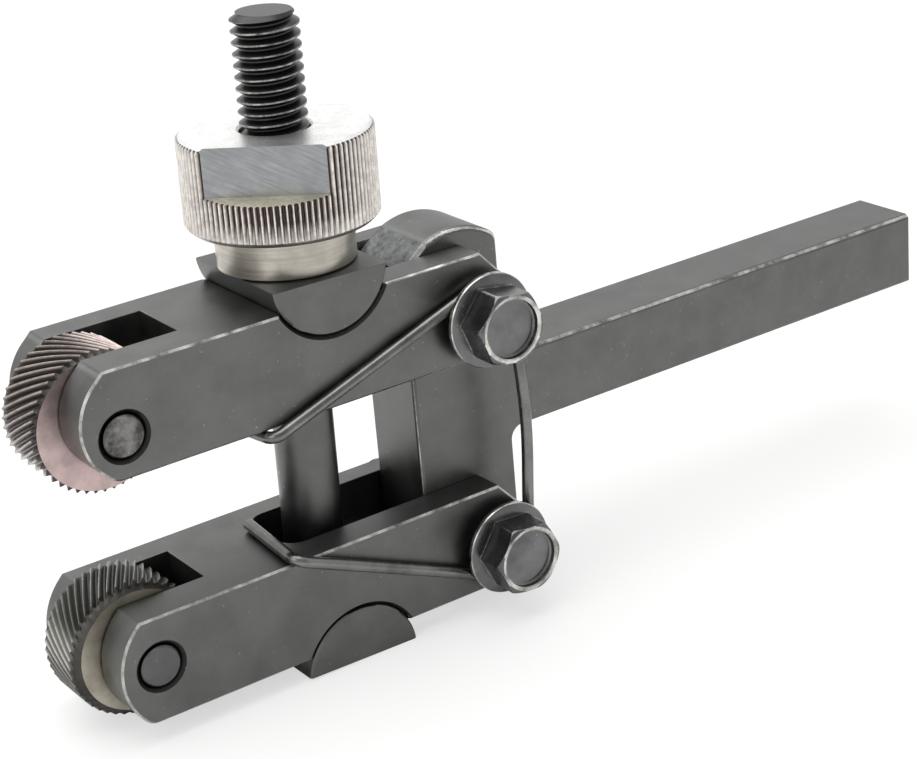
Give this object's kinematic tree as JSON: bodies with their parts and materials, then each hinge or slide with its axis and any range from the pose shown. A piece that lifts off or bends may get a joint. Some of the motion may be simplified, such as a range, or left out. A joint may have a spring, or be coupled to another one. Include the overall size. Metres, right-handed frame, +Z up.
{
  "type": "knurling tool",
  "caption": "Scissor clamp knurling tool: a square shank with two sprung arms, each carrying a toothed wheel, drawn together by a nut on a screw.",
  "frame": {"origin": "middle of the shank's underside, where the tool rests in its post", "axes": "+X along the shank towards its free end, wheels at -X; +Y from the bolt heads towards the nuts; +Z up through the clamp nut"},
  "size_m": [0.1596, 0.0409, 0.0937],
  "materials": {
    "blackened_steel": "black oxide, satin, edges worn bright",
    "wheel_steel": "tool steel, sides ground, crests bright",
    "pin_steel": "ground",
    "bolt_steel": "blackened, glossy with oil",
    "spring_wire": "dark drawn wire, glossy",
    "screw_steel": "blackened, thread crests worn bright",
    "nut_steel": "turned and knurled, bright",
    "saddle_steel": "black oxide, satin"
  },
  "bodies": {
    "holder": {"tool_holder": "blackened_steel", "upper_pivot_bolt": "bolt_steel", "upper_pivot_sleeve": "bolt_steel", "upper_pivot_washer": "bolt_steel", "upper_pivot_nut": "bolt_steel", "lower_pivot_bolt": "bolt_steel", "lower_pivot_sleeve": "bolt_steel", "lower_pivot_washer": "bolt_steel", "lower_pivot_nut": "bolt_steel", "return_spring": "spring_wire"},
    "upper_arm": {"upper_arm": "blackened_steel", "upper_wheel_pin": "pin_steel"},
    "lower_arm": {"lower_arm": "blackened_steel", "lower_wheel_pin": "pin_steel"},
    "upper_wheel": {"upper_knurl_wheel": "wheel_steel"},
    "lower_wheel": {"lower_knurl_wheel": "wheel_steel"},
    "upper_saddle": {"upper_saddle": "saddle_steel"},
    "clamp_nut": {"clamp_nut": "nut_steel"},
    "lower_saddle": {"lower_saddle": "saddle_steel", "clamp_screw": "screw_steel", "screw_key_pin": "screw_steel"}
  },
  "joints": [
    {"name": "upper_arm_pivot", "type": "hinge", "parent": "holder", "child": "upper_arm", "pos_m": [-0.05015, 0, 0.02185], "axis": [0, 1, 0], "range_deg": [-7.05, 12.05], "deforming": ["return_spring"]},
    {"name": "lower_arm_pivot", "type": "hinge", "parent": "holder", "child": "lower_arm", "pos_m": [-0.05015, 0, -0.01415], "axis": [0, 1, 0], "range_deg": [-12.05, 7.05], "deforming": ["return_spring"]},
    {"name": "upper_wheel_spin", "type": "hinge", "parent": "upper_arm", "child": "upper_wheel", "pos_m": [-0.10725, 0, 0.0215], "axis": [0, 1, 0], "continuous": true},
    {"name": "lower_wheel_spin", "type": "hinge", "parent": "lower_arm", "child": "lower_wheel", "pos_m": [-0.10675, 0, -0.0127], "axis": [0, 1, 0], "continuous": true},
    {"name": "upper_saddle_rock", "type": "hinge", "parent": "upper_arm", "child": "upper_saddle", "pos_m": [-0.07395, 0, 0.0354], "axis": [0, 1, 0], "range_deg": [-11.8, 6.9]},
    {"name": "lower_saddle_rock", "type": "hinge", "parent": "lower_arm", "child": "lower_saddle", "pos_m": [-0.07515, 0, -0.0252], "axis": [0, 1, 0], "range_deg": [-7.2, 12.35]},
    {"name": "clamp_nut_turn", "type": "hinge", "parent": "upper_saddle", "child": "clamp_nut", "pos_m": [-0.07395, 0, 0.0354], "axis": [0.0198, 0, 0.9998], "range_deg": [-1316, 2256]}
  ],
  "couplings": [
    {"joint": "upper_arm_pivot", "follows": "clamp_nut_turn", "ratio": 0.0053191},
    {"joint": "lower_arm_pivot", "follows": "clamp_nut_turn", "ratio": -0.0053191},
    {"joint": "upper_saddle_rock", "follows": "clamp_nut_turn", "ratio": -0.0051941},
    {"joint": "lower_saddle_rock", "follows": "clamp_nut_turn", "ratio": 0.0054442}
  ]
}
